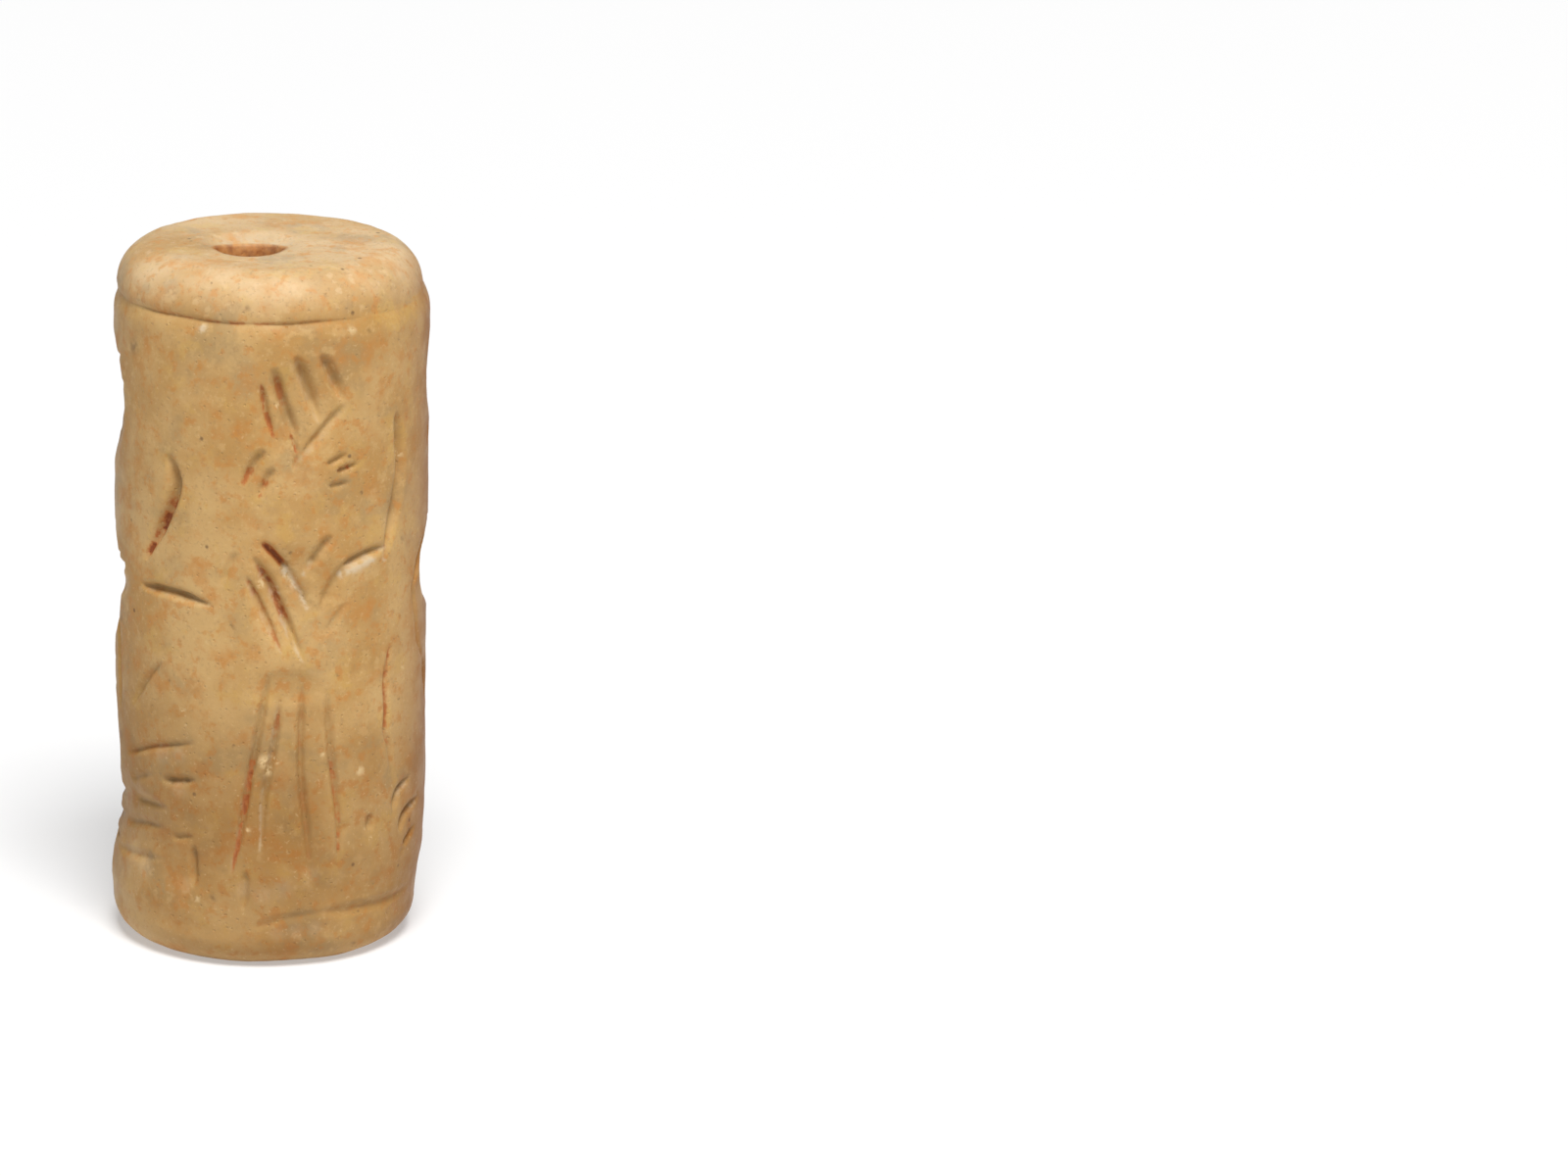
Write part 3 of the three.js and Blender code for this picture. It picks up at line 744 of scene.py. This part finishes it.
def makeSealStone(form):
    strokes = [
        one
        for part in (frontFigure, leftSide, frontStandard, seatedFigure, curvedStandard, swordFigure)
        for group in part.values()
        for one in group
    ]
    bm = spinStone(form)
    refineNearStrokes(bm, strokes)
    bm.normal_update()
    places = placesOf(bm)
    normals = np.array([v.normal[:] for v in bm.verts])
    onSide = onSideOf(places)
    cut, stain, chalkAndHighlight = (layer * onSide for layer in carve(places, strokes))
    for vert, place in zip(bm.verts, wornPlaces(places, normals, cut, form)):
        vert.co = place
    bmesh.ops.scale(bm, vec=(mm, mm, mm), verts=bm.verts[:])
    mesh = bpy.data.meshes.new("sealStone")
    bm.to_mesh(mesh)
    bm.free()
    mesh.shade_smooth()
    paintStone(mesh, places, cut, stain, chalkAndHighlight, form)
    stone = bpy.data.objects.new("sealStone", mesh)
    bpy.context.scene.collection.objects.link(stone)
    triangles = sum(len(face.vertices) - 2 for face in mesh.polygons)
    print("seal stone:", len(mesh.vertices), "points,", triangles, "triangles")
    return stone


# Colours are linear, scales are per metre
stoneFinish = {
    "pale": (0.56, 0.355, 0.145, 1),
    "ochre": (0.46, 0.26, 0.085, 1),
    "yellow": (0.56, 0.34, 0.1, 1),
    "orange": (0.5, 0.215, 0.052, 1),
    "grey": (0.34, 0.23, 0.105, 1),
    "paintedWarmShade": (0.3, 0.115, 0.024, 1),
    "speck": (0.13, 0.07, 0.035, 1),
    "crystal": (0.68, 0.49, 0.25, 1),
    "chalkAndHighlight": (0.62, 0.5, 0.34, 1),
    "stain": (0.4, 0.115, 0.028, 1),
    "deepStain": (0.2, 0.045, 0.014, 1),
    "grainDirtAndCutShade": (0.3, 0.19, 0.09, 1),
    "paintedLiftColour": (1.27, 1.45, 2.05, 1),  # this painted lift of light and the painted shade multiply the colour below them
    "paintedShade": (0.68, 0.62, 0.55, 1),
    "boreWall": (0.56, 0.23, 0.065, 1),
    "boreShade": (0.32, 0.1, 0.026, 1),
    "roughness": (0.42, 0.6),
    "sheen": 0.15,
    "subsurface": 0.15,
    "subsurfaceRadius": (1.0, 0.6, 0.3),
    "subsurfaceScale": 0.0008,
    "clouds": {  # scale, detail and roughness of each
        "broad": (210, 3.0, 0.55),
        "wide": (357, 3.0, 0.55),
        "patch": (520, 4.0, 0.62),
        "gather": (884, 3.0, 0.55),
        "mottle": (1500, 3.0, 0.6),
        "chalkAndHighlight": (1700, 3.0, 0.55),
        "mark": (1700, 2.0, 0.55),
        "stain": (1900, 3.0, 0.55),
        "glint": (2600, 2.0, 0.55),
        "grain": (5200, 2.0, 0.55),
    },
    "mottling": [  # colour, cloud, where in the cloud it starts and is full, share
        ("ochre", "broad", 0.36, 0.66, 1.0),
        ("grey", "wide", 0.5, 0.68, 0.5),
        ("orange", "patch", 0.52, 0.68, 0.5),
        ("yellow", "patch", 0.47, 0.32, 0.55),
        ("orange", "mottle", 0.53, 0.68, 0.6),
        ("pale", "mottle", 0.46, 0.32, 0.6),
    ],
    "graining": [
        ("grainDirtAndCutShade", "grain", 0.54, 0.76, 0.32),
        ("crystal", "grain", 0.4, 0.22, 0.3),
    ],
    "speckScale": 800,
    "speckShare": 0.7,
    "cutShade": 0.16,
    "glintShare": 0.9,
    "pitScale": 2300,
    "grainBump": (0.5, 0.00002),  # strength and height
    "pitBump": (0.7, 0.00004),
}


def makeStoneMaterial(finish):
    material = bpy.data.materials.new("wornBuffStone")
    material.use_nodes = True
    tree = material.node_tree
    nodes, links = tree.nodes, tree.links
    shader = nodes["Principled BSDF"]
    where = nodes.new("ShaderNodeTexCoord").outputs["Object"]

    def cloudy(scale, detail, roughness):
        node = nodes.new("ShaderNodeTexNoise")
        node.inputs["Scale"].default_value = scale
        node.inputs["Detail"].default_value = detail
        node.inputs["Roughness"].default_value = roughness
        links.new(where, node.inputs["Vector"])
        return node.outputs["Fac"]

    def cells(scale):
        node = nodes.new("ShaderNodeTexVoronoi")
        node.inputs["Scale"].default_value = scale
        links.new(where, node.inputs["Vector"])
        return node.outputs["Distance"]

    def fromTo(value, low, high, outLow=0.0, outHigh=1.0):
        node = nodes.new("ShaderNodeMapRange")
        node.interpolation_type = "SMOOTHSTEP"
        node.inputs["From Min"].default_value = low
        node.inputs["From Max"].default_value = high
        node.inputs["To Min"].default_value = outLow
        node.inputs["To Max"].default_value = outHigh
        links.new(value, node.inputs["Value"])
        return node.outputs["Result"]

    def times(one, other):
        node = nodes.new("ShaderNodeMath")
        node.operation = "MULTIPLY"
        for value, socket in zip((one, other), node.inputs):
            if isinstance(value, float):
                socket.default_value = value
            else:
                links.new(value, socket)
        return node.outputs["Value"]

    def tint(below, colour, share, blend="MIX"):
        node = nodes.new("ShaderNodeMix")
        node.data_type = "RGBA"
        node.blend_type = blend
        links.new(share, node.inputs["Factor"])
        for value, socket in ((below, node.inputs["A"]), (colour, node.inputs["B"])):
            if isinstance(value, tuple):
                socket.default_value = value
            else:
                links.new(value, socket)
        return node.outputs["Result"]

    def painted(name):
        node = nodes.new("ShaderNodeAttribute")
        node.attribute_name = name
        return node.outputs["Fac"]

    def bumpOf(height, strength, distance):
        node = nodes.new("ShaderNodeBump")
        node.inputs["Strength"].default_value = strength
        node.inputs["Distance"].default_value = distance
        links.new(height, node.inputs["Height"])
        return node

    cloud = {name: cloudy(*size) for name, size in finish["clouds"].items()}

    def mottled(colour, layers):
        for name, source, low, high, share in layers:
            colour = tint(colour, finish[name], fromTo(cloud[source], low, high, 0.0, share))
        return colour

    colour = mottled(finish["pale"], finish["mottling"])
    # painted light lifting the cap and the foot ridges
    colour = tint(colour, finish["paintedLiftColour"], painted("paintedLift"), "MULTIPLY")
    # painted shade, darker low down and on the left
    colour = tint(colour, finish["paintedShade"], painted("paintedShade"), "MULTIPLY")
    uneven = fromTo(cloud["patch"], 0.3, 0.6, 0.6, 0.95)
    # painted warm shade and bounce on the right side
    colour = tint(colour, finish["paintedWarmShade"], times(painted("paintedWarmShade"), uneven))
    colour = mottled(colour, finish["graining"])
    speck = times(fromTo(cells(finish["speckScale"]), 0.12, 0.05), fromTo(cloud["gather"], 0.5, 0.6))
    colour = tint(colour, finish["speck"], times(speck, finish["speckShare"]))
    # painted shade in the cuts
    colour = tint(colour, finish["grainDirtAndCutShade"], times(painted("cut"), finish["cutShade"]))

    # the stain is broken up, and darkest where it is thick
    red = times(painted("stain"), fromTo(cloud["stain"], 0.38, 0.6, 0.22, 1.0))
    colour = tint(colour, finish["stain"], fromTo(red, 0.02, 0.5, 0.0, 0.8))
    colour = tint(colour, finish["deepStain"], fromTo(red, 0.42, 0.9, 0.0, 0.8))

    glint = times(painted("fleck"), fromTo(cloud["glint"], 0.44, 0.56))
    colour = tint(colour, finish["crystal"], times(glint, finish["glintShare"]))
    # chalk on the lower walls of the cuts and elsewhere, partly a painted highlight
    chalkAndHighlight = times(painted("chalkAndHighlight"), fromTo(cloud["chalkAndHighlight"], 0.42, 0.6, 0.1, 0.85))
    colour = tint(colour, finish["chalkAndHighlight"], chalkAndHighlight)
    mark = times(painted("mark"), fromTo(cloud["mark"], 0.36, 0.62, 0.0, 0.55))
    colour = tint(colour, finish["speck"], mark)
    inside = tint(finish["boreShade"], finish["boreWall"], fromTo(cloud["mottle"], 0.35, 0.6))
    colour = tint(colour, inside, times(painted("bore"), uneven))

    links.new(colour, shader.inputs["Base Color"])
    links.new(fromTo(cloud["patch"], 0.3, 0.7, *finish["roughness"]), shader.inputs["Roughness"])
    shader.inputs["Specular IOR Level"].default_value = finish["sheen"]
    shader.inputs["Subsurface Weight"].default_value = finish["subsurface"]
    shader.inputs["Subsurface Radius"].default_value = finish["subsurfaceRadius"]
    shader.inputs["Subsurface Scale"].default_value = finish["subsurfaceScale"]

    grainBump = bumpOf(cloud["grain"], *finish["grainBump"])
    pitBump = bumpOf(fromTo(cells(finish["pitScale"]), 0.05, 0.2), *finish["pitBump"])
    links.new(grainBump.outputs["Normal"], pitBump.inputs["Normal"])
    links.new(pitBump.outputs["Normal"], shader.inputs["Normal"])
    return material


sealStone = makeSealStone(stoneForm)
sealStone.data.materials.append(makeStoneMaterial(stoneFinish))
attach(sealStone, "root")
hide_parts("seal_stone")
print("seal stone finished")

# The pale table, a soft light high in front and a faint warm one on the right
studio = {
    "floorSize": 4.0,
    "floorColour": (0.56, 0.56, 0.56, 1),
    "floorRoughness": 0.9,
    "floorGlow": 0.38,  # a lit table, which keeps the shadow under the foot soft
    "floorDrop": 0.01,  # millimetres below the foot
    "worldColour": (1.0, 1.0, 1.0, 1),
    "worldStrength": 0.14,
}
lights = {
    "keyLight": {"turn": 9, "rise": 62, "away": 3.0, "size": 1.2, "power": 112, "colour": (1, 1, 1)},
    "warmLight": {"turn": 80, "rise": 10, "away": 0.5, "size": 0.2, "power": 0.05, "colour": (1, 0.55, 0.35)},
}


def makeFloor():
    bm = bmesh.new()
    bmesh.ops.create_grid(bm, x_segments=1, y_segments=1, size=studio["floorSize"] / 2)
    bmesh.ops.translate(bm, vec=(0, 0, -studio["floorDrop"] * mm), verts=bm.verts[:])
    mesh = bpy.data.meshes.new("paleTable")
    bm.to_mesh(mesh)
    bm.free()
    floor = bpy.data.objects.new("paleTable", mesh)
    bpy.context.scene.collection.objects.link(floor)
    paper = bpy.data.materials.new("palePaper")
    paper.use_nodes = True
    surface = paper.node_tree.nodes["Principled BSDF"]
    surface.inputs["Base Color"].default_value = studio["floorColour"]
    surface.inputs["Roughness"].default_value = studio["floorRoughness"]
    surface.inputs["Emission Color"].default_value = (1, 1, 1, 1)
    surface.inputs["Emission Strength"].default_value = studio["floorGlow"]
    mesh.materials.append(paper)


def softLight(name, form):
    # turn is in degrees from the front towards the right, rise above the table
    turn, rise = math.radians(form["turn"]), math.radians(form["rise"])
    middle = Vector((0, 0, sealHeight / 2 * mm))
    towards = Vector((math.sin(turn) * math.cos(rise), -math.cos(turn) * math.cos(rise), math.sin(rise)))
    light = bpy.data.lights.new(name, "AREA")
    light.size = form["size"]
    light.energy = form["power"]
    light.color = form["colour"]
    lamp = bpy.data.objects.new(name, light)
    lamp.location = middle + towards * form["away"]
    lamp.rotation_euler = (-towards).to_track_quat("-Z", "Y").to_euler()
    bpy.context.scene.collection.objects.link(lamp)


def paleWorld():
    world = bpy.data.worlds.new("paleRoom")
    bpy.context.scene.world = world
    world.use_nodes = True
    backdrop = world.node_tree.nodes["Background"]
    backdrop.inputs["Color"].default_value = studio["worldColour"]
    backdrop.inputs["Strength"].default_value = studio["worldStrength"]


makeFloor()
for name, form in lights.items():
    softLight(name, form)
paleWorld()
bpy.context.scene.view_settings.view_transform = "Standard"
print("studio ready")

# A long lens a little above the seal, turned so that the seal stands left of the middle
cameraView = {
    "place": (0.0, -0.403118, 0.135880),
    "yaw": 3.6941,  # to the right of straight ahead
    "pitch": -16.2747,
    "roll": 1.25,
    "lens": 189.95,
    "nearest": 0.01,
}


def makeCamera():
    yaw, pitch, roll = (math.radians(cameraView[name]) for name in ("yaw", "pitch", "roll"))
    ahead = Vector((math.sin(yaw) * math.cos(pitch), math.cos(yaw) * math.cos(pitch), math.sin(pitch)))
    right = ahead.cross(Vector((0, 0, 1))).normalized()
    up = right.cross(ahead)
    turnedRight = math.cos(roll) * right + math.sin(roll) * up
    turnedUp = math.cos(roll) * up - math.sin(roll) * right
    data = bpy.data.cameras.new("photoView")
    data.lens = cameraView["lens"]
    data.clip_start = cameraView["nearest"]
    camera = bpy.data.objects.new("photoView", data)
    turn = Matrix((turnedRight, turnedUp, -ahead)).transposed()
    camera.matrix_world = Matrix.Translation(cameraView["place"]) @ turn.to_4x4()
    bpy.context.scene.collection.objects.link(camera)
    bpy.context.scene.camera = camera


makeCamera()
